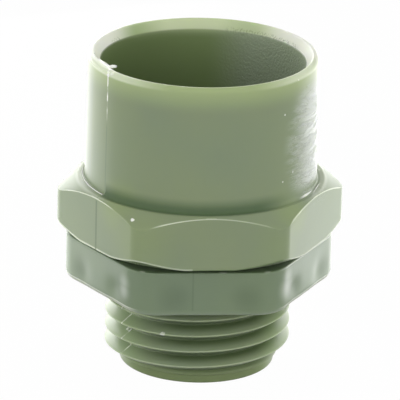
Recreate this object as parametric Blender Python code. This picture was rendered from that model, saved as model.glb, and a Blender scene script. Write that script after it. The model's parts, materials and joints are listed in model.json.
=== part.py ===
"""PVC conduit connector with its locknut.

One injection moulding carries a plain socket for a conduit's end, a hexagonal
flange and a threaded spigot, and is hollow right through. A hexagonal locknut
turns on the spigot, just under the flange. The axis is Z: the spigot's end is
at z = 0 and the socket's mouth is at the top.
"""
import math

import bmesh
import bpy

MM = 0.001

# Socket: what the conduit pushes into
CONDUIT_DIAMETER = 21.3 * MM
CONDUIT_CLEARANCE = 0.2 * MM      # on the diameter, where the conduit stops
MOUTH_FLARE = 1.1 * MM            # the bore's extra diameter at the mouth
SOCKET_WALL = 1.45 * MM           # at the mouth
SOCKET_DRAFT = 0.3 * MM           # the outside's extra diameter at the flange
SOCKET_DEPTH = 18.0 * MM          # rim to the shoulder that stops the conduit
SOCKET_FLOOR = 2.5 * MM           # that shoulder down to the flange's underside
LEAD_IN_WIDTH = 1.1 * MM
LEAD_IN_HEIGHT = 1.04 * MM
RIM_ROUNDING = 0.3 * MM

# Hexagonal flange, its faces square to Y
FLANGE_HEIGHT = 6.2 * MM
FLANGE_LEDGE = 1.15 * MM          # socket's foot to the middle of a face
FLANGE_CORNER_RADIUS = 2.1 * MM
FLANGE_TOP_LAND = 0.6 * MM        # flat ring round the socket's foot
FLANGE_TOP_SLOPE = math.radians(32)
FLANGE_UNDER_LAND = 0.25 * MM     # how far past a face's middle the underside is flat
FLANGE_UNDER_SLOPE = math.radians(33)
FOOT_FILLET = 0.45 * MM

# Threaded spigot: right-hand 60 degree thread, 14 turns to the inch
SPIGOT_LENGTH = 15.3 * MM         # end to the flange's underside
THREAD_DIAMETER = 20.6 * MM       # over the crests
THREAD_PITCH = 25.4 / 14 * MM
THREAD_HALF_ANGLE = math.radians(30)
CREST_SHARE = 0.11                # flat crest, as a share of the pitch
ROOT_SHARE = 0.16                 # flat root, as a share of the pitch
THREAD_FADE = 0.25                # turns in which the ridge rises at each end
THREAD_FIRST_ANGLE = math.radians(75)
THREAD_FIRST_RISE = 0.385 * MM    # pilot's top to the ridge's first point
THREAD_RELIEF = 1.6 * MM          # ridge's last point to the flange
PILOT_LENGTH = 1.0 * MM
PILOT_STEP = 0.55 * MM            # how far the pilot lies inside the thread's root
SPIGOT_WALL = 1.65 * MM           # thread's root to the passage
PASSAGE_CHAMFER = 0.3 * MM
PILOT_CHAMFER = 0.15 * MM

# Locknut
NUT_HEIGHT = 5.2 * MM
NUT_WALL = 1.75 * MM              # groove of its thread to the middle of a face
NUT_CORNER_RADIUS = 4.0 * MM
NUT_UNDER_EDGE = 0.85 * MM
NUT_TOP_EDGE = 0.2 * MM
NUT_SEAT_GAP = 0.47 * MM          # flange's underside to the nut
NUT_TURN = math.radians(-1)       # how it is turned against the flange
NUT_COUNTERSINK = 0.75 * MM
THREAD_CLEARANCE = 0.15 * MM      # spigot's crests to the nut's bore, on the radius

# How finely round shapes are cut into flats
TURN_SEGMENTS = 64
THREAD_SEGMENTS = 48
CORNER_SEGMENTS = 5
EDGE_SEGMENTS = 3
PAST = 1.0 * MM                   # how far a cutter runs past what it cuts

# Worked out from the sizes above
FLANGE_TOP = SPIGOT_LENGTH + FLANGE_HEIGHT
SHOULDER = SPIGOT_LENGTH + SOCKET_FLOOR
RIM = SHOULDER + SOCKET_DEPTH
SOCKET_RISE = RIM - FLANGE_TOP
STOP_RADIUS = (CONDUIT_DIAMETER + CONDUIT_CLEARANCE) / 2
MOUTH_RADIUS = STOP_RADIUS + MOUTH_FLARE / 2
RIM_RADIUS = MOUTH_RADIUS + SOCKET_WALL
FOOT_RADIUS = RIM_RADIUS + SOCKET_DRAFT / 2
FLANGE_FLATS = 2 * (FOOT_RADIUS + FLANGE_LEDGE)
CREST_RADIUS = THREAD_DIAMETER / 2
CREST_HALF = THREAD_PITCH * CREST_SHARE / 2
THREAD_DEPTH = THREAD_PITCH * (1 - CREST_SHARE - ROOT_SHARE) / 2 / math.tan(THREAD_HALF_ANGLE)
ROOT_RADIUS = CREST_RADIUS - THREAD_DEPTH
PASSAGE_RADIUS = ROOT_RADIUS - SPIGOT_WALL
# a ridge's foot lies this deep in the solid, short of meeting the next turn's foot
RIDGE_BURIED = 0.7 * THREAD_PITCH * ROOT_SHARE / 2 / math.tan(THREAD_HALF_ANGLE)
RIDGE_START = PILOT_LENGTH + THREAD_FIRST_RISE
RIDGE_TURNS = (SPIGOT_LENGTH - THREAD_RELIEF - RIDGE_START) / THREAD_PITCH
NUT_BORE_RADIUS = CREST_RADIUS + THREAD_CLEARANCE
NUT_GROOVE_RADIUS = NUT_BORE_RADIUS + THREAD_DEPTH
NUT_FLATS = 2 * (NUT_GROOVE_RADIUS + NUT_WALL)
NUT_TOP = SPIGOT_LENGTH - NUT_SEAT_GAP
NUT_FOOT = NUT_TOP - NUT_HEIGHT


def clear_scene():
    for old in list(bpy.data.objects):
        bpy.data.objects.remove(old)


def add_object(name, bm):
    """Turn a bmesh into an object of the scene, with its faces pointing out."""
    bmesh.ops.recalc_face_normals(bm, faces=bm.faces)
    mesh = bpy.data.meshes.new(name)
    bm.to_mesh(mesh)
    bm.free()
    obj = bpy.data.objects.new(name, mesh)
    bpy.context.scene.collection.objects.link(obj)
    return obj


def smooth(obj):
    obj.data.shade_smooth()
    obj.data.set_sharp_from_angle(angle=math.radians(30))


def arc(centre_r, centre_z, radius, first, last, steps):
    """Points of a round corner in a turned outline, angles in degrees."""
    points = []
    for i in range(steps + 1):
        a = math.radians(first + (last - first) * i / steps)
        points.append((centre_r + radius * math.cos(a), centre_z + radius * math.sin(a)))
    return points


def turned(name, outline, twist=0.0):
    """Solid of revolution: outline is (radius, height) from one end to the other."""
    bm = bmesh.new()
    rings = []
    for r, z in outline:
        ring = []
        for i in range(TURN_SEGMENTS):
            a = 2 * math.pi * (i + twist) / TURN_SEGMENTS
            ring.append(bm.verts.new((r * math.cos(a), r * math.sin(a), z)))
        rings.append(ring)
    for low, high in zip(rings, rings[1:]):
        for i in range(TURN_SEGMENTS):
            j = (i + 1) % TURN_SEGMENTS
            bm.faces.new((low[i], low[j], high[j], high[i]))
    bm.faces.new(rings[0])
    bm.faces.new(rings[-1])
    return add_object(name, bm)


def hexagon(flats, corner_radius, foot, height, turn=0.0):
    """Upright hexagonal prism with rounded corners, two faces square to Y."""
    bm = bmesh.new()
    corner = flats / math.sqrt(3)
    base = []
    for i in range(6):
        a = math.radians(60 * i) + turn
        base.append(bm.verts.new((corner * math.cos(a), corner * math.sin(a), foot)))
    floor = bm.faces.new(base)
    raised = bmesh.ops.extrude_face_region(bm, geom=[floor])["geom"]
    lifted = [v for v in raised if isinstance(v, bmesh.types.BMVert)]
    bmesh.ops.translate(bm, verts=lifted, vec=(0, 0, height))
    upright = [e for e in bm.edges if abs(e.verts[0].co.z - e.verts[1].co.z) > height / 2]
    # the cut-back along each face that leaves an arc of the wanted radius
    setback = corner_radius * math.tan(math.radians(30))
    bmesh.ops.bevel(bm, geom=upright, offset=setback, offset_type="OFFSET",
                    segments=CORNER_SEGMENTS, profile=0.5, affect="EDGES")
    return bm


def round_end(bm, z, radius):
    """Round the edges of the prism's end face at height z."""
    rim = [e for e in bm.edges if all(abs(v.co.z - z) < 1e-6 for v in e.verts)]
    bmesh.ops.bevel(bm, geom=rim, offset=radius, offset_type="OFFSET",
                    segments=EDGE_SEGMENTS, profile=0.5, affect="EDGES")


def helical_ridge(name, foot_radius, crest_radius, start_z, turns, start_angle, fade):
    """One continuous ridge of the thread, as a closed bar wound up the axis."""
    bm = bmesh.new()
    slope = math.tan(THREAD_HALF_ANGLE)
    steps = math.ceil(turns * THREAD_SEGMENTS)
    last = None
    for i in range(steps + 1):
        t = turns * i / steps
        grown = 1.0
        if fade:
            grown = min(1.0, t / fade, (turns - t) / fade)
            grown = math.sin(math.pi / 2 * max(grown, 0.0))
        # at its ends the ridge is a thin bar wholly inside the solid
        tip = foot_radius + (crest_radius - foot_radius) * max(grown, 0.1)
        half_foot = CREST_HALF + (tip - foot_radius) * slope
        a = start_angle + 2 * math.pi * t
        z = start_z + THREAD_PITCH * t
        section = ((foot_radius, -half_foot), (tip, -CREST_HALF),
                   (tip, CREST_HALF), (foot_radius, half_foot))
        ring = [bm.verts.new((r * math.cos(a), r * math.sin(a), z + dz)) for r, dz in section]
        if last:
            for k in range(4):
                m = (k + 1) % 4
                bm.faces.new((last[k], ring[k], ring[m], last[m]))
        else:
            bm.faces.new(ring)
        last = ring
    bm.faces.new(last)
    return add_object(name, bm)


def add_boolean(obj, tool, operation):
    """Join, cut or trim obj with a helper solid, which isn't itself a part."""
    tool.hide_render = True
    tool.display_type = "WIRE"
    step = obj.modifiers.new(tool.name, "BOOLEAN")
    step.operation = operation
    step.solver = "EXACT"
    step.object = tool


def plastic(name, colour, roughness):
    material = bpy.data.materials.new(name)
    material.use_nodes = True
    shader = material.node_tree.nodes["Principled BSDF"]
    shader.inputs["Base Color"].default_value = (*colour, 1)
    shader.inputs["Roughness"].default_value = roughness
    shader.inputs["Metallic"].default_value = 0
    return material


def make_flange():
    """Hexagon with its corners taken off by a cone above and a cone below."""
    bm = hexagon(FLANGE_FLATS, FLANGE_CORNER_RADIUS, SPIGOT_LENGTH, FLANGE_HEIGHT)
    flange = add_object("flange_hexagon", bm)
    top_flat = FOOT_RADIUS + FLANGE_TOP_LAND
    under_flat = FLANGE_FLATS / 2 + FLANGE_UNDER_LAND
    far = FLANGE_FLATS / 2 * 1.25
    middle = (SPIGOT_LENGTH + FLANGE_TOP) / 2
    under_drop = (far - under_flat) * math.tan(FLANGE_UNDER_SLOPE)
    top_drop = (far - top_flat) * math.tan(FLANGE_TOP_SLOPE)
    # both cones start a little past the hexagon's ends, so no faces coincide
    over = 0.05 * MM
    outline = [
        (under_flat - over / math.tan(FLANGE_UNDER_SLOPE), SPIGOT_LENGTH - over),
        (far, min(SPIGOT_LENGTH + under_drop, middle)),
        (far, max(FLANGE_TOP - top_drop, middle + over)),
        (top_flat - over / math.tan(FLANGE_TOP_SLOPE), FLANGE_TOP + over),
    ]
    add_boolean(flange, turned("flange_cones", outline, twist=0.5), "INTERSECT")
    return flange


def make_body():
    """The whole moulding: turned core, flange and thread joined, then bored."""
    draft = (FOOT_RADIUS - RIM_RADIUS) / SOCKET_RISE
    pilot = ROOT_RADIUS - PILOT_STEP
    fillet_z = FLANGE_TOP + FOOT_FILLET
    fillet_r = FOOT_RADIUS - draft * FOOT_FILLET
    outline = [
        (pilot - PILOT_CHAMFER, 0.0),
        (pilot, PILOT_CHAMFER),
        (pilot, PILOT_LENGTH),
        (ROOT_RADIUS, PILOT_LENGTH + PILOT_CHAMFER),
        (ROOT_RADIUS, SPIGOT_LENGTH + FLANGE_HEIGHT * 0.4),
        (fillet_r + FOOT_FILLET, SPIGOT_LENGTH + FLANGE_HEIGHT * 0.6),
    ]
    # the fillet's last stretch dips under the flange's top, where the two join
    fillet = arc(fillet_r + FOOT_FILLET, fillet_z, FOOT_FILLET, 180, 255, 3)
    dip = (fillet[-1][0] + 0.2 * MM, fillet[-1][1] - 0.2 * MM * math.tan(math.radians(15)))
    outline.append(dip)
    outline.extend(reversed(fillet))
    outline.extend(arc(RIM_RADIUS - RIM_ROUNDING, RIM - RIM_ROUNDING, RIM_ROUNDING, 0, 90, 3))
    body = turned("connector_body", outline)

    flange = make_flange()
    add_boolean(body, flange, "UNION")
    ridge = helical_ridge("spigot_thread", ROOT_RADIUS - RIDGE_BURIED, CREST_RADIUS,
                          RIDGE_START, RIDGE_TURNS, THREAD_FIRST_ANGLE, THREAD_FADE)
    add_boolean(body, ridge, "UNION")

    lead_in = min(LEAD_IN_WIDTH, SOCKET_WALL - RIM_ROUNDING)
    lead_slope = lead_in / LEAD_IN_HEIGHT
    bore = turned("through_bore", [
        (PASSAGE_RADIUS + PASSAGE_CHAMFER + PAST, -PAST),
        (PASSAGE_RADIUS, PASSAGE_CHAMFER),
        (PASSAGE_RADIUS, SHOULDER),
        (STOP_RADIUS, SHOULDER),
        (MOUTH_RADIUS, RIM - LEAD_IN_HEIGHT),
        (MOUTH_RADIUS + lead_in + PAST * lead_slope, RIM + PAST),
    ])
    add_boolean(body, bore, "DIFFERENCE")
    body.data.materials.append(plastic("body_pvc", (0.235, 0.304, 0.188), 0.38))
    smooth(body)


def make_locknut():
    """Hexagonal nut whose threaded bore clears the spigot's crests."""
    bm = hexagon(NUT_FLATS, NUT_CORNER_RADIUS, NUT_FOOT, NUT_HEIGHT, NUT_TURN)
    round_end(bm, NUT_FOOT, NUT_UNDER_EDGE)
    round_end(bm, NUT_TOP, NUT_TOP_EDGE)
    nut = add_object("locknut", bm)
    flare = NUT_BORE_RADIUS + NUT_COUNTERSINK
    bore = turned("nut_bore", [
        (flare + PAST, NUT_FOOT - PAST),
        (NUT_BORE_RADIUS, NUT_FOOT + NUT_COUNTERSINK),
        (NUT_BORE_RADIUS, NUT_TOP - NUT_COUNTERSINK),
        (flare + PAST, NUT_TOP + PAST),
    ])
    add_boolean(nut, bore, "DIFFERENCE")
    # the groove winds in step with the spigot's ridge, from below the nut to above it
    first = math.floor((NUT_FOOT - RIDGE_START) / THREAD_PITCH) - 1
    groove_turns = math.ceil(NUT_HEIGHT / THREAD_PITCH) + 3
    groove = helical_ridge("nut_thread", NUT_BORE_RADIUS - RIDGE_BURIED, NUT_GROOVE_RADIUS,
                           RIDGE_START + first * THREAD_PITCH, groove_turns,
                           THREAD_FIRST_ANGLE, 0)
    add_boolean(nut, groove, "DIFFERENCE")
    nut.data.materials.append(plastic("nut_pvc", (0.165, 0.232, 0.160), 0.42))
    smooth(nut)


clear_scene()
make_body()
make_locknut()
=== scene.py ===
import json
import math

import bmesh
import bpy
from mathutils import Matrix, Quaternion, Vector, noise

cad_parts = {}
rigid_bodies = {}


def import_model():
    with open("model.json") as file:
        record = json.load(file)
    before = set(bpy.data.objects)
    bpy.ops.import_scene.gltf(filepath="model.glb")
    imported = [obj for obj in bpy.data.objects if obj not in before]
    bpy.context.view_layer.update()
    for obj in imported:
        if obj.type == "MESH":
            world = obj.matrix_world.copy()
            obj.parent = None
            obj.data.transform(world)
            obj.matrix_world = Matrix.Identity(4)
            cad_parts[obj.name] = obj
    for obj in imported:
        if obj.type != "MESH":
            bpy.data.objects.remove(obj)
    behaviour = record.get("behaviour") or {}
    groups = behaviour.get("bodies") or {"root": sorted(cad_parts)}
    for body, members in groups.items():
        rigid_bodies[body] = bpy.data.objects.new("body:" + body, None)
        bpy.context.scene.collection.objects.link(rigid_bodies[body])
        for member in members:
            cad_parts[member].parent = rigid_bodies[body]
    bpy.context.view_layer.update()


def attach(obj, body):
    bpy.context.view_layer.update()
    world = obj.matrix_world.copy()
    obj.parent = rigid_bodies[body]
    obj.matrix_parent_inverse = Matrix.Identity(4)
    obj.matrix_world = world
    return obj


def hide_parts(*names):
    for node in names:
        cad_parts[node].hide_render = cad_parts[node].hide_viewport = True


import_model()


# Camera. A long lens 0.6 m away looks down at the fitting at 20 degrees, a
# little from the left of its front face, and leans 1.4 degrees.
MM = 0.001
CAMERA_AIM = Vector((0, 0, 18.46 * MM))
CAMERA_DISTANCE = 591.8 * MM
CAMERA_AZIMUTH = math.radians(-5.45)
CAMERA_ELEVATION = math.radians(19.88)
CAMERA_LEAN = math.radians(1.43)

towards_camera = Vector((math.sin(CAMERA_AZIMUTH) * math.cos(CAMERA_ELEVATION),
                         -math.cos(CAMERA_AZIMUTH) * math.cos(CAMERA_ELEVATION),
                         math.sin(CAMERA_ELEVATION)))
camera_turn = (-towards_camera).to_track_quat("-Z", "Y") @ Quaternion((0, 0, 1), CAMERA_LEAN)
bpy.ops.object.camera_add(location=CAMERA_AIM + towards_camera * CAMERA_DISTANCE,
                          rotation=camera_turn.to_euler())
camera = bpy.context.object
camera.name = "camera"
camera.data.sensor_width = 36
camera.data.lens = 480
camera.data.clip_start = 0.01
camera.data.clip_end = 10
bpy.context.scene.camera = camera


# Body moulding: conduit socket, hexagonal flange and threaded spigot in one piece of
# rigid PVC, injected into a two-part mould that closes across the flange's faces. The
# socket and the passage are left open by cores drawn out of each end.
MOUTH_BORE = 11.3 * MM            # radii, and heights over the spigot's end
STOP_BORE = 10.75 * MM
SHOULDER_HEIGHT = 17.8 * MM
RIM_HEIGHT = 35.8 * MM
RIM_OUTSIDE = 12.75 * MM
RIM_ROUNDING = 0.6 * MM
LEAD_IN = 1.05 * MM               # the bore's rounded mouth goes this deep
FOOT_OUTSIDE = 12.9 * MM
FLANGE_UNDERSIDE = 15.3 * MM
FLANGE_TOP = 21.5 * MM
FLANGE_FLATS = 28.1 * MM          # the width over two faces
FLANGE_CORNER = 2.37 * MM
FLANGE_LAND = 13.75 * MM          # its corners are cut off at a slope from here outwards,
FLANGE_UNDER_LAND = 14.3 * MM     # and from here on the underside
SLOPE_OVER = math.tan(math.radians(35))
SLOPE_UNDER = math.tan(math.radians(33))
PASSAGE = 7.503 * MM
PILOT = 8.6 * MM
PILOT_TOP = 1.0 * MM
THREAD_ROOT = 8.97 * MM
THREAD_CREST = 10.3 * MM
THREAD_CREST_HALF = 0.06 * MM     # half the crest's width
THREAD_SUNK = 0.18 * MM           # a thread's section reaches this far past the wall's face
THREAD_FADE = 0.25                # the ridge grows and fades over this part of a turn
THREAD_PITCH = 25.4 / 14 * MM
THREAD_START = 1.595 * MM
THREAD_START_ANGLE = 75
THREAD_TURNS = 6.787
THREAD_STEPS = 240                # to a turn
PARTING_ANGLE = 210.5             # in plan, in degrees
RIM_STEP = 0.05 * MM              # one mould half left its end of the rim this much higher


def start_fresh(obj=None):
    """Nothing selected but obj, and out of edit mode."""
    if bpy.context.object and bpy.context.object.mode != "OBJECT":
        bpy.ops.object.mode_set(mode="OBJECT")
    for other in bpy.context.scene.objects:
        other.select_set(False)
    if obj:
        obj.select_set(True)
        bpy.context.view_layer.objects.active = obj


def hexagon_reach(angle, flats, corner):
    """How far a hexagon with rounded corners reaches at an angle, its faces square to Y."""
    sixth = math.radians(60)
    off = abs((angle + sixth / 2) % sixth - sixth / 2)
    centre = (flats / 2 - corner) / math.cos(sixth / 2)
    bend = math.atan2(corner * 0.5, centre + corner * math.cos(sixth / 2))
    if off > bend:
        return flats / 2 / math.cos(sixth / 2 - off)
    return centre * math.cos(off) + math.sqrt(corner ** 2 - (centre * math.sin(off)) ** 2)


def rounded_outline(corners):
    """Points of an outline in (radius, height). A corner is its radius, height and
    rounding, and then into how many pieces its rounding and the run up to it are cut."""
    points = []
    for i, (r, z, rounding, pieces, run) in enumerate(corners):
        here = Vector((r, z))
        if i:
            start = points[-1]
        if rounding and 0 < i < len(corners) - 1:
            before = (Vector(corners[i - 1][:2]) - here).normalized()
            after = (Vector(corners[i + 1][:2]) - here).normalized()
            half = math.acos(max(-1, min(1, before.dot(after)))) / 2
            reach = rounding / math.tan(half)
            centre = here + (before + after).normalized() * rounding / math.sin(half)
            first = here + before * reach - centre
            last = here + after * reach - centre
            turn = first.angle_signed(last)
            arc = []
            for k in range(pieces + 1):
                c, s = math.cos(-turn * k / pieces), math.sin(-turn * k / pieces)
                arc.append(centre + Vector((first.x * c - first.y * s, first.x * s + first.y * c)))
        else:
            arc = [here]
        if i:
            for k in range(1, run):
                points.append(start.lerp(arc[0], k / run))
        points.extend(arc)
    return points


def within(angle, first, last, lead):
    """1 where an angle in radians lies between two in degrees, growing from 0 over the
    lead before the first."""
    degrees = math.degrees(angle) % 360
    return 0 if degrees > last else max(0, min(1, (degrees - first + lead) / lead))


def body_outline(angle):
    """The moulding's section at an angle, up its outside and down its bore."""
    corner = hexagon_reach(angle, FLANGE_FLATS, FLANGE_CORNER)
    under = FLANGE_UNDERSIDE + max(0, corner - FLANGE_UNDER_LAND) * SLOPE_UNDER
    # the slope is cut deepest on the rear face to the left
    land = FLANGE_LAND - 0.4 * MM * max(0, math.cos(angle - math.radians(150))) ** 6
    over = FLANGE_TOP - (corner - land) * SLOPE_OVER
    land_under = min(FLANGE_UNDER_LAND, corner - 0.03 * MM) - 0.2 * MM
    # beside the parting line the rim keeps a crisp edge, and on the left and the right a
    # bead of flash stands round the socket's foot
    crisp = within(angle, 184, PARTING_ANGLE, 8)
    off_right = abs((math.degrees(angle) - 355 + 180) % 360 - 180)
    beaded_left = within(angle, 120, PARTING_ANGLE, 15)
    beaded = max(beaded_left, min(1, (28 - off_right) / 12))
    bead_height = 0.1 * MM * max(0, min(beaded, (off_right - 8) / 7))
    top = RIM_HEIGHT - RIM_STEP * (1 - crisp)
    bead = (13.52 - 0.26 * beaded - 0.14 * beaded_left) * MM
    flat_to = RIM_OUTSIDE - RIM_ROUNDING
    # at the back the bore's edge is rounder
    worn_away = max(0, math.sin(angle)) ** 2
    # radius, height, rounding, pieces of the rounding, pieces of the run before it
    return rounded_outline((
        (PASSAGE, SHOULDER_HEIGHT - 1.0 * MM, 0, 1, 1),
        (PASSAGE, 0.3 * MM, 0.1 * MM, 2, 6),
        (PASSAGE + 0.3 * MM, 0, 0.1 * MM, 2, 1),
        (PILOT, 0, 0.25 * MM, 4, 2),
        (PILOT, PILOT_TOP, 0.15 * MM, 3, 2),
        (THREAD_ROOT, PILOT_TOP + 0.15 * MM, 0.05 * MM, 2, 1),
        (THREAD_ROOT, FLANGE_UNDERSIDE, 0.3 * MM, 3, 8),
        (land_under, FLANGE_UNDERSIDE, 0.1 * MM, 2, 5),
        (corner, under + 0.02 * MM, 0.17 * MM, 4, 2),
        (corner, over, 0.14 * MM, 4, 8),
        (land, FLANGE_TOP, 0.5 * MM, 4, 3),
        (bead + 0.05 * MM, FLANGE_TOP, 0, 1, 1),
        (bead, FLANGE_TOP + bead_height, 0, 1, 1),
        (bead - 0.05 * MM, FLANGE_TOP, 0, 1, 1),
        (FOOT_OUTSIDE, FLANGE_TOP, (0.56 - 0.38 * beaded - 0.06 * beaded_left) * MM, 6, 1),
        (RIM_OUTSIDE, top - (0.7 - 0.32 * crisp) * MM, 0, 1, 20),
        (RIM_OUTSIDE - 0.06 * MM * crisp, top - (0.68 - 0.33 * crisp) * MM, 0, 1, 1),
        (RIM_OUTSIDE - 0.06 * MM * crisp, top, (0.59 - 0.31 * crisp) * MM, 7, 1),
        (flat_to - 0.12 * MM, top, 0.25 * MM, 4, 1),
        (MOUTH_BORE, top - LEAD_IN, (0.08 + 1.5 * worn_away) * MM, 8, 2),
        (STOP_BORE, SHOULDER_HEIGHT, 0.15 * MM, 3, 12),
        (PASSAGE, SHOULDER_HEIGHT, 0.2 * MM, 3, 4),
        (PASSAGE, SHOULDER_HEIGHT - 1.0 * MM, 0, 1, 1),
    ))


def lay_ring(points):
    """Put the selected ring's points at the (radius, height) given for each half degree."""
    mesh = bmesh.from_edit_mesh(bpy.context.object.data)
    for v in mesh.verts:
        if v.select:
            angle = math.atan2(v.co.y, v.co.x)
            r, z = points[round(math.degrees(angle) * 2) % 720]
            v.co = (r * math.cos(angle), r * math.sin(angle), z)
    bmesh.update_edit_mesh(bpy.context.object.data)


def turn_up(name, outline, half_degrees):
    """A ring of edges drawn out again and again along an outline, and closed on itself."""
    sections = {h: outline(math.radians(h / 2)) for h in half_degrees}
    rings = len(sections[half_degrees[0]])
    start_fresh()
    bpy.ops.mesh.primitive_circle_add(vertices=len(half_degrees), radius=10 * MM)
    obj = bpy.context.object
    obj.name = name
    obj.data.name = name
    bpy.ops.object.mode_set(mode="EDIT")
    mesh = bmesh.from_edit_mesh(obj.data)
    for v, h in zip(mesh.verts, half_degrees):
        v.co = (math.cos(math.radians(h / 2)), math.sin(math.radians(h / 2)), 0)
    bmesh.update_edit_mesh(obj.data)
    bpy.ops.mesh.select_all(action="SELECT")
    lay_ring({h: s[0] for h, s in sections.items()})
    for k in range(1, rings):
        bpy.ops.mesh.extrude_edges_move()
        lay_ring({h: s[k] for h, s in sections.items()})
    bpy.ops.mesh.select_all(action="SELECT")
    bpy.ops.mesh.remove_doubles(threshold=0.0005 * MM)
    bpy.ops.mesh.normals_make_consistent(inside=False)
    bpy.ops.object.mode_set(mode="OBJECT")
    return obj


def wind_ridge(name, section, start_angle, start_height, turns):
    """A closed section wound up the axis by the thread's pitch, open at both ends."""
    start_fresh()
    bpy.ops.mesh.primitive_circle_add(vertices=len(section), radius=MM)
    obj = bpy.context.object
    obj.name = name
    start = math.radians(start_angle)
    outwards = Vector((math.cos(start), math.sin(start), 0))
    for v, (r, z) in zip(obj.data.vertices, section):
        v.co = outwards * r + Vector((0, 0, start_height + z))
    wind = obj.modifiers.new("wind", "SCREW")
    wind.screw_offset = THREAD_PITCH
    wind.iterations = turns
    wind.steps = THREAD_STEPS
    wind.render_steps = THREAD_STEPS
    bpy.ops.object.modifier_apply(modifier=wind.name)
    return obj


def edit_mesh(obj):
    """Into edit mode with nothing else selected."""
    start_fresh(obj)
    bpy.ops.object.mode_set(mode="EDIT")


def cap_and_face_out(obj):
    """Close the two ends of a wound ridge and point its faces outwards."""
    edit_mesh(obj)
    bpy.ops.mesh.select_mode(type="EDGE")
    bpy.ops.mesh.select_all(action="DESELECT")
    bpy.ops.mesh.select_non_manifold()
    bpy.ops.mesh.edge_face_add()
    bpy.ops.mesh.select_all(action="SELECT")
    bpy.ops.mesh.normals_make_consistent(inside=False)
    bpy.ops.object.mode_set(mode="OBJECT")


def join_solid(obj, tool, operation):
    """Join or cut obj with another solid, which is then gone."""
    start_fresh(obj)
    step = obj.modifiers.new("join", "BOOLEAN")
    step.operation = operation
    step.solver = "EXACT"
    step.object = tool
    bpy.ops.object.modifier_apply(modifier=step.name)
    bpy.data.objects.remove(tool)


def tooth(foot, crest, crest_half):
    """Section of a thread's ridge: flanks at 30 degrees, and a narrow crest, eased."""
    slope = math.tan(math.radians(30))
    above = [(crest, crest_half * 0.4), (crest - 0.03 * MM, crest_half)]
    for depth in (0.1 * MM, 0.4 * MM, crest - foot):
        above.append((crest - depth, crest_half + depth * slope))
    return [(r, -z) for r, z in reversed(above)] + above


# angles in half degrees: every whole degree, and every half degree near a corner
whole_degrees = set(range(0, 720, 2))
near_corners = {(120 * k + d) % 720 for k in range(6) for d in range(-11, 12)}
moulding = turn_up("connector_moulding", body_outline, sorted(whole_degrees | near_corners))

# the ridge sinks into the spigot at both ends
foot = THREAD_ROOT - THREAD_SUNK
section = tooth(foot, THREAD_CREST, THREAD_CREST_HALF)
ridge = wind_ridge("ridge", section, THREAD_START_ANGLE, THREAD_START, math.ceil(THREAD_TURNS))
for i, v in enumerate(ridge.data.vertices):
    turns_in = i // len(section) / THREAD_STEPS
    grown = max(0, min(1, turns_in / THREAD_FADE, (THREAD_TURNS - turns_in) / THREAD_FADE))
    grown = max(0.1, math.sin(math.pi / 2 * grown))
    r = math.hypot(v.co.x, v.co.y)
    shrunk = (foot + (r - foot) * grown) / r
    centre = THREAD_START + THREAD_PITCH * turns_in
    v.co = (v.co.x * shrunk, v.co.y * shrunk, centre + (v.co.z - centre) * (0.25 + 0.75 * grown))
cap_and_face_out(ridge)
join_solid(moulding, ridge, "UNION")


def flash_crumbs(name, crumbs):
    """Crumbs of flash as one object: radius, plan angle and height, then how far each
    reaches outwards, round and up, in mm."""
    made = []
    for r, degrees, z, out, around, up in crumbs:
        start_fresh()
        bpy.ops.mesh.primitive_ico_sphere_add(subdivisions=3, radius=1)
        outwards = Vector((math.cos(math.radians(degrees)), math.sin(math.radians(degrees)), 0))
        sideways = Vector((-outwards.y, outwards.x, 0))
        for v in bpy.context.object.data.vertices:
            v.co *= 0.9 + 0.3 * noise.noise(v.co * 1.7 + Vector((r, degrees, z)))
            v.co = (outwards * (r + v.co.x * out) + sideways * v.co.y * around
                    + Vector((0, 0, z + v.co.z * up))) * MM
        made.append(bpy.context.object)
    start_fresh(made[0])
    for lump in made:
        lump.select_set(True)
    bpy.ops.object.join()
    bpy.context.object.name = name
    return bpy.context.object


# a fold of flash that ends in a beak over the mouth, burrs under the flange and at the
# thread, and specks
join_solid(moulding, flash_crumbs("fold", ((11.74, 198.2, 35.62, 0.34, 1.9, 0.15),)), "UNION")
join_solid(moulding, flash_crumbs("flash", (
    (11.25, 203.4, 35.6, 0.52, 0.34, 0.17),
    (14.88, 235.3, 20.58, 0.12, 0.22, 0.09),
    (15.16, 236.2, 15.95, 0.08, 0.06, 0.2),
    (15.2, 237.1, 15.92, 0.08, 0.05, 0.16),
    (15.2, 238.2, 15.9, 0.08, 0.06, 0.22),
    (15.1, 239.4, 15.82, 0.08, 0.05, 0.14),
    (10.2, 210.3, 7.72, 0.14, 0.1, 0.1),
    (9.3, 210.6, 5.05, 0.3, 0.12, 0.12),
    (10.24, 242.9, 6.07, 0.09, 0.3, 0.09),
)), "UNION")


def cut_beside(obj, plan_angle, offsets):
    """Cut a mesh along planes through the axis, some tenths of a degree beside an angle."""
    edit_mesh(obj)
    for off in offsets:
        turned = math.radians(plan_angle + off)
        bpy.ops.mesh.select_all(action="SELECT")
        bpy.ops.mesh.bisect(plane_co=(0, 0, 0), plane_no=(-math.sin(turned), math.cos(turned), 0),
                            threshold=0.001 * MM)
    bpy.ops.mesh.select_all(action="DESELECT")
    bpy.ops.object.mode_set(mode="OBJECT")


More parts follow.
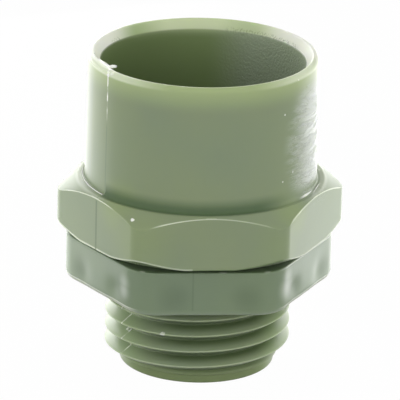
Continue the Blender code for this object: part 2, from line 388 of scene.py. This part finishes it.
# the mesh is cut beside the parting line; the line itself is colour, but where it crosses
# the burrs at the thread they stand out a little further
cut_beside(moulding, PARTING_ANGLE, (-0.55, -0.22, 0.22, 0.55))
normals = [v.normal.copy() for v in moulding.data.vertices]
for v, normal in zip(moulding.data.vertices, normals):
    r = math.hypot(v.co.x, v.co.y)
    angle = math.degrees(math.atan2(v.co.y, v.co.x)) % 180
    on_line = abs(angle - PARTING_ANGLE % 180) < 0.1
    if on_line and v.co.z < FLANGE_UNDERSIDE and r > 8.7 * MM:
        ragged = 1 + 0.5 * noise.noise(v.co * 900)
        v.co += normal * 0.08 * MM * ragged
    elif abs(normal.z) < 0.3 and r > 12.4 * MM:
        # the upright faces are drawn in a little, unevenly, where thick walls shrank
        v.co -= normal * 0.03 * MM * (0.5 + 0.5 * noise.noise(v.co * 170))


def linear(hex_colour):
    """A written sRGB colour as the linear values that the shader takes."""
    channels = [int(hex_colour[i:i + 2], 16) / 255 for i in (1, 3, 5)]
    return [c / 12.92 if c <= 0.04045 else ((c + 0.055) / 1.055) ** 2.4 for c in channels] + [1]


def add_node(tree, kind, settings, inputs):
    """One node with its settings, and each input set to a value or linked from an output."""
    node = tree.nodes.new(kind)
    for name, value in settings.items():
        setattr(node, name, value)
    for name, value in inputs.items():
        if isinstance(value, bpy.types.NodeSocket):
            tree.links.new(value, node.inputs[name])
        else:
            node.inputs[name].default_value = value
    return node


def moulded_pvc(name, plain, warm, roughness):
    """Rigid PVC as it leaves the mould: an even green with slow drifts of tone, half
    gloss from a polished cavity, and a fine ripple that softens what it reflects."""
    material = bpy.data.materials.new(name)
    material.use_nodes = True
    tree = material.node_tree
    shader = tree.nodes["Principled BSDF"]
    place = add_node(tree, "ShaderNodeTexCoord", {}, {}).outputs["Object"]
    # a millimetre of the piece is one unit of the patterns
    in_mm = add_node(tree, "ShaderNodeMapping", {}, {"Vector": place, "Scale": (1000, 1000, 1000)})
    in_mm = in_mm.outputs["Vector"]
    drift = add_node(tree, "ShaderNodeTexNoise", {}, {"Vector": in_mm, "Scale": 0.09, "Detail": 2})
    spread = add_node(tree, "ShaderNodeMapRange", {}, {
        "Value": drift.outputs["Fac"], "From Min": 0.35, "From Max": 0.65})
    tone = add_node(tree, "ShaderNodeMix", {"data_type": "RGBA"}, {
        "Factor": spread.outputs["Result"], "A": linear(plain), "B": linear(warm)})
    ripple = add_node(tree, "ShaderNodeTexNoise", {}, {"Vector": in_mm, "Scale": 1.1, "Detail": 3})
    rippled = add_node(tree, "ShaderNodeBump", {}, {
        "Height": ripple.outputs["Fac"], "Strength": 0.12, "Distance": 0.00004})
    tree.links.new(tone.outputs["Result"], shader.inputs["Base Color"])
    tree.links.new(rippled.outputs["Normal"], shader.inputs["Normal"])
    shader.inputs["Roughness"].default_value = roughness
    shader.inputs["IOR"].default_value = 1.53
    shader.inputs["Specular IOR Level"].default_value = 0.25
    shader.inputs["Sheen Weight"].default_value = 0.05
    shader.inputs["Sheen Roughness"].default_value = 0.3
    shader.inputs["Subsurface Weight"].default_value = 0.3
    shader.inputs["Subsurface Radius"].default_value = (0.9, 1.0, 0.5)
    shader.inputs["Subsurface Scale"].default_value = 0.0006
    return material


def maths(tree, operation, a, b):
    """One step of arithmetic on a mask."""
    return add_node(tree, "ShaderNodeMath", {"operation": operation}, {0: a, 1: b}).outputs["Value"]


def vector_maths(tree, operation, inputs, result="Vector"):
    """One step of arithmetic on a place."""
    return add_node(tree, "ShaderNodeVectorMath", {"operation": operation}, inputs).outputs[result]


def product(tree, *masks):
    """A mask of where every one of several masks holds."""
    whole = masks[0]
    for mask in masks[1:]:
        whole = maths(tree, "MULTIPLY", whole, mask)
    return whole


def ramp(tree, value, none, full, to=1.0):
    """0 up to one value and growing to the last number at another, or the same downwards."""
    return add_node(tree, "ShaderNodeMapRange", {"interpolation_type": "SMOOTHSTEP"}, {
        "Value": value, "From Min": none, "From Max": full, "To Max": to}).outputs["Result"]


def near(tree, value, centre, none, full):
    """1 close to a value, and 0 from a distance away from it."""
    away = maths(tree, "ABSOLUTE", maths(tree, "SUBTRACT", value, centre), 0)
    return ramp(tree, away, none, full)


def spots(tree, place, marks, soft=0.6):
    """A mask of spots: centre in mm, radius in mm, and how strong each is. A spot is even
    out to the soft share of its radius and fades away from there."""
    mask = 0.0
    for centre, radius, strength in marks:
        away = vector_maths(tree, "DISTANCE", {0: place, 1: centre}, "Value")
        spot = ramp(tree, away, radius, radius * soft, strength)
        mask = maths(tree, "MAXIMUM", spot, mask)
    return mask


def lay_over(tree, colour, *masks):
    """Lay a colour over the surface by as much as the masks together say."""
    shader = tree.nodes["Principled BSDF"]
    under = shader.inputs["Base Color"].links[0].from_socket
    mixed = add_node(tree, "ShaderNodeMix", {"data_type": "RGBA"}, {
        "Factor": product(tree, *masks), "A": under, "B": linear(colour)})
    tree.links.new(mixed.outputs["Result"], shader.inputs["Base Color"])


def finish_surface(obj):
    """Smooth shading that stops at the sharp edges, and keeps the flat faces flat."""
    start_fresh(obj)
    bpy.ops.object.shade_smooth_by_angle(angle=math.radians(35))
    even = obj.modifiers.new("even", "WEIGHTED_NORMAL")
    even.keep_sharp = True
    even.weight = 80
    bpy.ops.object.modifier_apply(modifier=even.name)


# how strong the painted highlight on the flange's sharp edges is at each of the mesh's points:
# the edges of its sides, above and below, apart from the lower one at the front
edge_highlight = moulding.data.attributes.new("edge_highlight", "FLOAT", "POINT")
for v in moulding.data.vertices:
    angle = math.atan2(v.co.y, v.co.x)
    r = math.hypot(v.co.x, v.co.y)
    degrees = math.degrees(angle) % 360
    reach = hexagon_reach(angle, FLANGE_FLATS, FLANGE_CORNER)
    over = FLANGE_TOP - (reach - FLANGE_LAND) * SLOPE_OVER
    under = FLANGE_UNDERSIDE + max(0, reach - FLANGE_UNDER_LAND) * SLOPE_UNDER
    on_top_edge = abs(v.co.z - over) < 0.07 * MM
    on_low_edge = abs(v.co.z - under - 0.1 * MM) < 0.12 * MM and not 262 < degrees < 300
    off_corner = abs((degrees + 30) % 60 - 30)
    if r > reach - 0.14 * MM and on_top_edge:
        edge_highlight.data[v.index].value = min(1, 0.5 + off_corner / 14)
    elif r > reach - 0.14 * MM and on_low_edge:
        edge_highlight.data[v.index].value = min(1, 0.86 + max(0, 232 - degrees) / 350)

body_pvc = moulded_pvc("moulded_pvc_body", "#869478", "#8A9776", 0.33)
tree = body_pvc.node_tree
shader = tree.nodes["Principled BSDF"]
in_mm = tree.nodes["Mapping"].outputs["Vector"]
# the masks go by places in mm: x to the right, y to the back, z up from the spigot's end,
# the distance from the fitting's axis and the distance from the parting plane
x, y, z = add_node(tree, "ShaderNodeSeparateXYZ", {}, {"Vector": in_mm}).outputs
sideways = maths(tree, "ABSOLUTE", x, 0)
from_axis = vector_maths(tree, "MULTIPLY", {0: in_mm, 1: (1, 1, 0)})
from_axis = vector_maths(tree, "LENGTH", {0: from_axis}, "Value")
parting = math.radians(PARTING_ANGLE)
off_plane = vector_maths(tree, "DOT_PRODUCT", {
    0: in_mm, 1: (-math.sin(parting), math.cos(parting), 0)}, "Value")
wander = add_node(tree, "ShaderNodeTexNoise", {}, {"Vector": in_mm, "Scale": 3.5, "Detail": 2})
wander = vector_maths(tree, "SUBTRACT", {0: wander.outputs["Color"], 1: (0.5, 0.5, 0.5)})
wander = vector_maths(tree, "SCALE", {0: wander, "Scale": 0.25})
ragged_place = vector_maths(tree, "ADD", {0: in_mm, 1: wander})

# painted glow: the thin rim and flash let light through, so they and the foot are painted
# yellower and lighter
painted_glow = (((-9.9, -9.6, 21.3), 4.0, 0.5), ((-8.0, -13.6, 18.6), 5.5, 0.35),
            ((9.2, -11.2, 20.9), 3.8, 0.6), ((7.6, -13.9, 17.8), 4.5, 0.3))
lay_over(tree, "#93A36E", spots(tree, in_mm, painted_glow, 0.05))
lay_over(tree, "#B1C289", ramp(tree, z, 32.6, 35.8), 0.7)

# the rim is painted pale with reflection and glow, brightest as a painted highlight along its
# crest at the front, and weaker in two places behind
mouth = product(tree, ramp(tree, z, 34.6, 34.8), ramp(tree, from_axis, 12.3, 11.9))
lay_over(tree, "#D9E2BE", mouth, 0.7)
weaker_rim_light = (((-6.9, 9.2, 35.2), 4.9, 0.7), ((5.9, 9.9, 35.0), 4.2, 0.35))
lay_over(tree, "#8FA66C", mouth, spots(tree, in_mm, weaker_rim_light, 0.0))
lip = product(tree, ramp(tree, z, 35.2, 35.45), ramp(tree, y, -5, -1))
lip = maths(tree, "MAXIMUM", mouth, lip)
lay_over(tree, "#E9EADF", lip, ramp(tree, sideways, 6.6, 10.1, 0.9))
outer_lip = product(tree, ramp(tree, z, 35.05, 35.35), ramp(tree, y, -1, -5))
lay_over(tree, "#E0E8CE", outer_lip, ramp(tree, sideways, 4, 11, 0.75))
crest = product(tree, near(tree, from_axis, 11.92, 0.2, 0.08), ramp(tree, z, 35.6, 35.72))
lay_over(tree, "#FBFDE8", crest, ramp(tree, y, 0, -3, 0.85))

# painted shade in the bore, which is neither scuffed nor bleached: its green is darkened with
# depth, most on the left
inside = product(tree, ramp(tree, from_axis, 11.42, 11.34), ramp(tree, z, 17, 17.2))
lay_over(tree, "#798B5D", inside, ramp(tree, z, 35, 33.6))
lay_over(tree, "#64754A", inside, ramp(tree, x, 3, -9, 0.8))

# painted shade at the thread's root and under its ridge, and a painted highlight along its crest
at_thread = product(tree, ramp(tree, z, 9.9, 9.5), ramp(tree, from_axis, 8.1, 8.4))
over_pilot = ramp(tree, z, 1.2, 1.6)
shaded = maths(tree, "ADD", ramp(tree, x, -8.5, -2, 0.72), 0.12)
lay_over(tree, "#42542F", at_thread, ramp(tree, from_axis, 10.2, 9.1), over_pilot, shaded)
normal_up = add_node(tree, "ShaderNodeSeparateXYZ", {}, {
    "Vector": tree.nodes["Texture Coordinate"].outputs["Normal"]}).outputs["Z"]
downward = ramp(tree, normal_up, -0.25, -0.6, 0.4)
lay_over(tree, "#455C2C", downward, at_thread, over_pilot, shaded)
lay_over(tree, "#C3CDB0", at_thread, ramp(tree, from_axis, 10.2, 10.26, 0.4))

# shade gathers as well under the flange and the slopes at its corners, on the pilot end
# and at the foot of the socket
risen = maths(tree, "MAXIMUM", maths(tree, "SUBTRACT", from_axis, FLANGE_UNDER_LAND / MM), 0)
off_slope = maths(tree, "SUBTRACT", z, maths(tree, "MULTIPLY", risen, SLOPE_UNDER))
lay_over(tree, "#42602A", ramp(tree, off_slope, 15.5, 15.38), ramp(tree, z, 14.9, 15.1),
         ramp(tree, from_axis, 8.5, 8.8), 0.5)
lay_over(tree, "#71814F", ramp(tree, z, 2.4, 0.6, 0.7))
lay_over(tree, "#4A623F", ramp(tree, z, 23.3, 21.7), ramp(tree, z, 21.4, 21.45),
         ramp(tree, from_axis, 13.75, 13.3), ramp(tree, from_axis, 12.3, 12.6),
         ramp(tree, off_plane, 0.05, 0.2, 0.85), ramp(tree, x, 10, 5))

# painted highlights along the flange's sharp edges, stronger towards the left and the far
# right, apart from one corner that is blunt
edges = add_node(tree, "ShaderNodeAttribute", {"attribute_name": "edge_highlight"}, {}).outputs["Fac"]
towards_sides = maths(tree, "MAXIMUM", ramp(tree, x, 13, -9), ramp(tree, x, 7, 10))
blunt = product(tree, spots(tree, in_mm, (((-9.0, -12.6, 20.7), 4.3, 0.85),)),
                maths(tree, "GREATER_THAN", z, 18))
lay_over(tree, "#DAE1CC", ramp(tree, edges, 0.7, 0.95), towards_sides,
         maths(tree, "SUBTRACT", 1.0, blunt), 0.9)

# the bead of flash is nearly white behind the parting line and on the right, and the
# flange's top carries a painted reflection towards the sides
bead = product(tree, ramp(tree, z, 21.52, 21.55), ramp(tree, z, 21.75, 21.7),
               maths(tree, "GREATER_THAN", from_axis, 13.06))
bead_ends = maths(tree, "MAXIMUM", ramp(tree, off_plane, 0.1, -0.05), ramp(tree, x, 10, 11))
lay_over(tree, "#FAFAF4", bead, bead_ends)
flat_top = product(tree, ramp(tree, z, 21.2, 21.45), ramp(tree, z, 21.53, 21.51),
                   ramp(tree, from_axis, 13.15, 13.3))
lay_over(tree, "#D5D9C8", flat_top, ramp(tree, sideways, 10.5, 12.5, 0.3))

# painted sheen on the round parts where they are seen at a low angle, as light slides off the
# waxy skin, and a painted lighter green on the thread's sides
facing = add_node(tree, "ShaderNodeLayerWeight", {}, {"Blend": 0.5}).outputs["Facing"]
off_foot = ramp(tree, from_axis, 12.3, 12.6)
lay_over(tree, "#E9E8E6", ramp(tree, z, 21.8, 23), off_foot, ramp(tree, facing, 0.6, 0.98, 0.42))
thread_sides = product(tree, at_thread, ramp(tree, sideways, 5.5, 8.5))
lay_over(tree, "#94AA76", thread_sides, 0.35)
lay_over(tree, "#DFE2D6", thread_sides, ramp(tree, facing, 0.42, 0.85, 0.3))

# stress-whitened specks, with a painted glint on the flange's slope, and the parting line where
# it was pulled, mostly near the rim
whitened_and_glint = spots(tree, ragged_place, (
    ((-8.47, -12.28, 20.62), 0.28, 1.0), ((9.68, -8.31, 35.26), 0.14, 0.9),
    ((8.09, -9.91, 31.8), 0.13, 0.8), ((9.27, -8.92, 24.87), 0.12, 0.8),
    ((8.08, -10.02, 24.12), 0.12, 0.7), ((-10.58, -6.78, 35.66), 0.35, 0.5),
    ((-4.66, -9.13, 6.1), 0.34, 0.6), ((-10.3, -5.45, 35.7), 0.75, 1.0),
    ((-10.98, -6.45, 35.3), 0.24, 1.0), ((-10.85, -6.25, 35.55), 0.28, 1.0),
    ((-10.6, -5.85, 35.75), 0.4, 1.0), ((-10.3, -4.4, 35.65), 0.72, 1.0),
    ((-10.75, -3.7, 35.75), 0.4, 0.8), ((-11.0, -3.0, 35.75), 0.32, 0.7)))
folded = product(tree, crest, ramp(tree, y, -0.8, -1.8), maths(tree, "LESS_THAN", x, -10))
whitened_and_glint = maths(tree, "MAXIMUM", whitened_and_glint, folded)
outward = maths(tree, "MAXIMUM", ramp(tree, from_axis, 11.7, 11.8), ramp(tree, z, 15.5, 15.3))
on_line = product(tree, near(tree, off_plane, 0, 0.13, 0.04), maths(tree, "LESS_THAN", x, 0),
                  outward)
lay_over(tree, "#73856C", on_line, ramp(tree, z, 30, 29), ramp(tree, z, 21.3, 21.5, 0.6))
broken = add_node(tree, "ShaderNodeTexNoise", {}, {"Vector": in_mm, "Scale": 0.9, "Detail": 3})
broken = maths(tree, "MULTIPLY", ramp(tree, broken.outputs["Fac"], 0.4, 0.6), 0.88)
low = product(tree, ramp(tree, z, 9.5, 8.5, 0.8), ramp(tree, z, 1.6, 2.0))
pulled = product(tree, maths(tree, "MAXIMUM", ramp(tree, z, 29.5, 33), low),
                 maths(tree, "ADD", broken, 0.12))
whitened_and_glint = maths(tree, "MAXIMUM", whitened_and_glint, product(tree, on_line, pulled))
lay_over(tree, "#F6F8F0", whitened_and_glint)

# a darker line runs beside it down the flange, and a slit of shade where the fold ends
lay_over(tree, "#66775A", near(tree, off_plane, 0.08, 0.2, 0.08),
         maths(tree, "LESS_THAN", x, -11.4), ramp(tree, z, 21.3, 21.0), 0.75)
slit = (((-12.05, -0.3, 35.72), 0.15, 0.8), ((-11.98, -0.9, 35.74), 0.17, 0.9),
        ((-11.92, -1.5, 35.76), 0.15, 0.8), ((-11.84, -2.0, 35.78), 0.1, 0.6))
lay_over(tree, "#5E7048", spots(tree, in_mm, slit))

# the mouth's inner edge is frayed by the core in some places
frayed = spots(tree, in_mm, (((-9.15, 6.84, 34.75), 1.1, 1.0), ((5.2, 10.2, 34.8), 2.2, 0.8),
                             ((7.9, 8.2, 34.7), 2.6, 0.9), ((9.9, 5.4, 34.6), 2.2, 1.0)))
threads = add_node(tree, "ShaderNodeMapping", {}, {"Vector": in_mm, "Scale": (1, 1, 0.25)})
threads = add_node(tree, "ShaderNodeTexNoise", {}, {
    "Vector": threads.outputs["Vector"], "Scale": 5.5, "Detail": 3})
lay_over(tree, "#66764F", frayed, ramp(tree, threads.outputs["Fac"], 0.5, 0.6),
         ramp(tree, z, 35.2, 34.95), ramp(tree, z, 34.3, 34.6), 0.5)

# a painted sheen lies on the socket's right side where it is seen at a low angle, and handling
# has scuffed that side in strokes that run round it
scuffed = add_node(tree, "ShaderNodeMapping", {"vector_type": "TEXTURE"}, {
    "Vector": in_mm, "Location": (11.5, -5.8, 27.4), "Scale": (5.9, 5.9, 8.0)})
scuffed = vector_maths(tree, "LENGTH", {0: scuffed.outputs["Vector"]}, "Value")
flattened = add_node(tree, "ShaderNodeMapping", {}, {"Vector": in_mm, "Scale": (0.3, 0.3, 1.7)})
strokes = add_node(tree, "ShaderNodeTexNoise", {}, {
    "Vector": flattened.outputs["Vector"], "Scale": 0.9, "Detail": 5, "Roughness": 0.62})
strokes = strokes.outputs["Fac"]
scuffed = product(tree, ramp(tree, scuffed, 1.0, 0.45), ramp(tree, strokes, 0.42, 0.6))
lay_over(tree, "#DADEDC", ramp(tree, facing, 0.38, 0.68, 0.6), ramp(tree, z, 34.8, 32),
         ramp(tree, z, 21.9, 23.2), off_foot, ramp(tree, x, 5, 9))
lay_over(tree, "#CDD3C9", scuffed, 0.55)

# the right of the bore was left rough by the core, grey and grained
grained = product(tree, inside, ramp(tree, x, 1, 7))
lay_over(tree, "#9CA793", grained, 0.75)

# the scuffs and the grain take the gloss off and are felt as well as seen
worn = maths(tree, "MAXIMUM", scuffed, grained)
gloss = add_node(tree, "ShaderNodeMapRange", {}, {"Value": worn, "To Min": 0.33, "To Max": 0.56})
tree.links.new(gloss.outputs["Result"], shader.inputs["Roughness"])
grain = add_node(tree, "ShaderNodeTexNoise", {}, {"Vector": in_mm, "Scale": 3.6, "Detail": 4})
grain_height = product(tree, grain.outputs["Fac"], grained)
stroke_height = product(tree, strokes, scuffed)
dented = add_node(tree, "ShaderNodeBump", {}, {
    "Height": maths(tree, "ADD", grain_height, stroke_height), "Strength": 0.9,
    "Distance": 0.0002, "Normal": shader.inputs["Normal"].links[0].from_socket})
tree.links.new(dented.outputs["Normal"], shader.inputs["Normal"])
moulding.data.materials.clear()
moulding.data.materials.append(body_pvc)
finish_surface(moulding)
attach(moulding, "connector")
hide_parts("connector_body")


# Locknut: a separate PVC moulding of a slightly cooler green, with softly rounded
# corners. Its bore is threaded to match the spigot, and it is spun up by hand.
NUT_FOOT = 9.63 * MM
NUT_TOP = 14.83 * MM
NUT_FLATS = 26.69 * MM            # the width over two faces
NUT_CORNER = 4.0 * MM
NUT_BORE = 10.45 * MM
NUT_MOUTH = 0.75 * MM             # its bore is widened this much at each end
NUT_THREAD = 1.147 * MM           # the groove's depth
NUT_TURN = math.radians(-1)
NUT_PARTING_ANGLE = 261.5
SINK_OFFSET = 4.0 * MM            # a sink mark lies this far to each side of a corner
SINK_HEIGHT = 11.6 * MM
SINK_RADIUS = 1.4 * MM
SINK_DEPTH = 0.2 * MM
SHADE_TURN = math.radians(1)      # the seam's shade and the painted shade patches lie this far round
PATCH_REACH = 13.3                # a painted shade patch's centre, in mm: out from the axis,
PATCH_OFFSET = 4.0                # to the side of a face's middle
PATCH_HEIGHT = 11.7               # and up
PATCH_RADIUS = 2.6


def nut_outline(angle):
    """The nut's section at an angle, up its outside and down its bore."""
    reach = hexagon_reach(angle, NUT_FLATS, NUT_CORNER)
    return rounded_outline((
        (NUT_BORE, NUT_FOOT + 2.6 * MM, 0, 1, 1),
        (NUT_BORE, NUT_FOOT + NUT_MOUTH, 0.1 * MM, 2, 3),
        (NUT_BORE + NUT_MOUTH, NUT_FOOT, 0.12 * MM, 3, 1),
        (reach, NUT_FOOT, 0.85 * MM, 7, 3),
        (reach, NUT_TOP, 0.2 * MM, 4, 14),
        (NUT_BORE + NUT_MOUTH, NUT_TOP, 0.12 * MM, 3, 3),
        (NUT_BORE, NUT_TOP - NUT_MOUTH, 0.1 * MM, 2, 1),
        (NUT_BORE, NUT_FOOT + 2.6 * MM, 0, 1, 3),
    ))


nut = turn_up("locknut_moulding", nut_outline, sorted(whole_degrees))
# the groove's six turns reach past both ends of the nut
groove = tooth(NUT_BORE - THREAD_SUNK, NUT_BORE + NUT_THREAD, THREAD_CREST_HALF)
groove = wind_ridge("groove", groove, THREAD_START_ANGLE + math.degrees(-NUT_TURN),
                    THREAD_START + 3 * THREAD_PITCH, 6)
cap_and_face_out(groove)
join_solid(nut, groove, "DIFFERENCE")
join_solid(nut, flash_crumbs("nut_flash", (
    (13.12, 250.5, 14.83, 0.1, 0.06, 0.13), (13.25, 312.3, 14.83, 0.1, 0.07, 0.14))), "UNION")
cut_beside(nut, NUT_PARTING_ANGLE, (-0.5, -0.2, 0.2, 0.5))
normals = [v.normal.copy() for v in nut.data.vertices]
for v, normal in zip(nut.data.vertices, normals):
    if math.hypot(v.co.x, v.co.y) < 12.6 * MM:
        continue
    # two sink marks in each face, and the whole of it drawn in a little, unevenly
    degrees = math.degrees(math.atan2(v.co.y, v.co.x)) % 360
    off_corner = math.radians((degrees + 30) % 60 - 30)
    along = NUT_FLATS / 2 * math.tan(off_corner)
    for side in (-1, 1):
        away = Vector((along - side * SINK_OFFSET, (v.co.z - SINK_HEIGHT) * 1.1, 0)).length
        v.co -= normal * SINK_DEPTH * math.exp(-(away / SINK_RADIUS) ** 2)
    v.co -= normal * 0.03 * MM * (0.5 + 0.5 * noise.noise(v.co * 200))
edit_mesh(nut)
bpy.ops.mesh.select_all(action="SELECT")
# a positive value turns clockwise here, seen from above
bpy.ops.transform.rotate(value=-NUT_TURN, orient_axis="Z", center_override=(0, 0, 0))
bpy.ops.object.mode_set(mode="OBJECT")

nut_pvc = moulded_pvc("moulded_pvc_nut", "#75866C", "#77886A", 0.36)
tree = nut_pvc.node_tree
tree.nodes["Principled BSDF"].inputs["Specular IOR Level"].default_value = 0.5
in_mm = tree.nodes["Mapping"].outputs["Vector"]
x, y, z = add_node(tree, "ShaderNodeSeparateXYZ", {}, {"Vector": in_mm}).outputs

# painted shade of a sink mark towards each end of a face, and painted highlights beside the two
# front corners
sink_shade = []
for k in range(6):
    face = math.radians(60 * k + 30) + SHADE_TURN
    outwards = Vector((math.cos(face), math.sin(face), 0))
    for side in (-PATCH_OFFSET, PATCH_OFFSET):
        centre = (PATCH_REACH * outwards.x - side * outwards.y,
                  PATCH_REACH * outwards.y + side * outwards.x, PATCH_HEIGHT)
        sink_shade.append((centre, PATCH_RADIUS, 0.36 if k == 4 else 0.42))
lay_over(tree, "#56684C", spots(tree, in_mm, sink_shade, 0.05))
corner_highlights = (((-9.2, -11.0, 12.9), 1.4, 0.3), ((-9.2, -11.0, 12.0), 1.4, 0.35),
          ((8.9, -11.3, 13.4), 1.6, 0.4), ((8.8, -11.4, 12.3), 2.0, 0.6))
lay_over(tree, "#D0D6CC", spots(tree, in_mm, corner_highlights, 0.0))

# a painted reflection on the rounded lower edge, the more so at the sides, where painted highlight
# lines run above it and under the top edge; painted shade on the top face, under the flange
lay_over(tree, "#A9B6A0", ramp(tree, z, 10.6, 9.7, 0.35))
at_sides = ramp(tree, maths(tree, "ABSOLUTE", x, 0), 7.5, 9)
lay_over(tree, "#C2C4B4", at_sides, ramp(tree, z, 10.3, 10.2, 0.5))
low_edge_highlight = near(tree, z, 10.28, 0.1, 0.04)
top_edge_highlight = product(tree, near(tree, z, 14.73, 0.11, 0.05), ramp(tree, x, -10.5, 0))
lay_over(tree, "#E0E5D9", at_sides, maths(tree, "MAXIMUM", low_edge_highlight, top_edge_highlight), 0.6)
lay_over(tree, "#4A6436", ramp(tree, z, 14.76, 14.82, 0.4))

# the top edge is paler in three short stretches, and the mould's seam is a dark line
pale_top_stretches = spots(tree, in_mm, (((-7.36, -12.72, 14.83), 0.5, 0.5), ((1.45, -13.2, 14.83), 0.6, 0.4),
                             ((6.38, -13.2, 14.83), 0.55, 0.45)), 0.2)
lay_over(tree, "#D6DDCC", pale_top_stretches, ramp(tree, z, 14.72, 14.8))
seam = math.radians(NUT_PARTING_ANGLE) + SHADE_TURN
off_seam = vector_maths(tree, "DOT_PRODUCT", {
    0: in_mm, 1: (-math.sin(seam), math.cos(seam), 0)}, "Value")
lay_over(tree, "#5B6C51", near(tree, off_seam, -0.04, 0.12, 0.05),
         maths(tree, "GREATER_THAN", z, 10.4), 0.4)
nut.data.materials.clear()
nut.data.materials.append(nut_pvc)
finish_surface(nut)
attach(nut, "nut")
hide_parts("locknut")


# Floor: a wide sheet of white acrylic on the table. The camera sees it as plain white,
# and the fitting mirrors half of that white.
FLOOR_SEEN = 0.985
FLOOR_MIRRORED = 0.5
start_fresh()
bpy.ops.mesh.primitive_plane_add(size=6)
floor = bpy.context.object
floor.name = "floor"
acrylic = bpy.data.materials.new("white_acrylic_sheet")
acrylic.use_nodes = True
tree = acrylic.node_tree
sheet = tree.nodes["Principled BSDF"]
sheet.inputs["Base Color"].default_value = linear("#B8B8B8")
sheet.inputs["Roughness"].default_value = 0.6
ray = add_node(tree, "ShaderNodeLightPath", {}, {})
glow = add_node(tree, "ShaderNodeEmission", {}, {"Color": (1, 1, 1, 1), "Strength": 1})
seen = maths(tree, "MULTIPLY", ray.outputs["Is Camera Ray"], FLOOR_SEEN)
mirrored = maths(tree, "MULTIPLY", ray.outputs["Is Glossy Ray"], FLOOR_MIRRORED)
white_share = maths(tree, "ADD", mirrored, seen)
blend = add_node(tree, "ShaderNodeMixShader", {}, {
    "Fac": white_share, 1: sheet.outputs["BSDF"], 2: glow.outputs["Emission"]})
tree.links.new(blend.outputs["Shader"], tree.nodes["Material Output"].inputs["Surface"])
floor.data.materials.append(acrylic)


# Light: a pale room, and three softboxes behind the fitting, close by on the left and
# the right and further back.
world = bpy.data.worlds.new("pale_room")
bpy.context.scene.world = world
world.use_nodes = True
tree = world.node_tree
room = tree.nodes["Background"]
room.inputs["Color"].default_value = (1, 1, 1, 1)
ray = add_node(tree, "ShaderNodeLightPath", {}, {})
white = maths(tree, "MAXIMUM", ray.outputs["Is Camera Ray"], ray.outputs["Is Glossy Ray"])
# the fitting mirrors the far walls, a little less bright than the white behind it
seen = add_node(tree, "ShaderNodeMapRange", {}, {
    "Value": ray.outputs["Is Camera Ray"], "To Min": 0.7, "To Max": 1.0})
# what lights the fitting comes mostly from low down, off pale walls under a darker ceiling
sky = add_node(tree, "ShaderNodeTexCoord", {}, {}).outputs["Generated"]
height = add_node(tree, "ShaderNodeSeparateXYZ", {}, {"Vector": sky}).outputs["Z"]
walls = ramp(tree, height, 0.85, 0.0)
walls = add_node(tree, "ShaderNodeMapRange", {}, {"Value": walls, "To Min": 0.5, "To Max": 2.0})
level = add_node(tree, "ShaderNodeMix", {"data_type": "FLOAT"}, {
    "Factor": white, "A": walls.outputs["Result"], "B": seen.outputs["Result"]})
tree.links.new(level.outputs["Result"], room.inputs["Strength"])


def softbox(name, place, aim, width, height, radiance):
    """A square lamp that faces aim, as bright as a white sheet of that radiance."""
    back = (Vector(place) - Vector(aim)).normalized()
    bpy.ops.object.light_add(type="AREA", location=place,
                             rotation=back.to_track_quat("Z", "Y").to_euler())
    lamp = bpy.context.object
    lamp.name = name
    lamp.data.shape = "RECTANGLE"
    lamp.data.size = width
    lamp.data.size_y = height
    lamp.data.energy = radiance * math.pi * width * height
    lamp.visible_camera = False


start_fresh()
softbox("softbox_left", (-0.031, 0.0215, 0.021), (0, 0, 0.05), 0.04, 0.046, 1.6)
softbox("softbox_right", (0.030, 0.023, 0.021), (0, 0, 0.05), 0.045, 0.046, 2.1)
softbox("softbox_back", (-0.03, 0.12, 0.061), (0, 0, 0.061), 0.09, 0.12, 2.4)

bpy.context.scene.view_settings.view_transform = "Standard"

start_fresh()
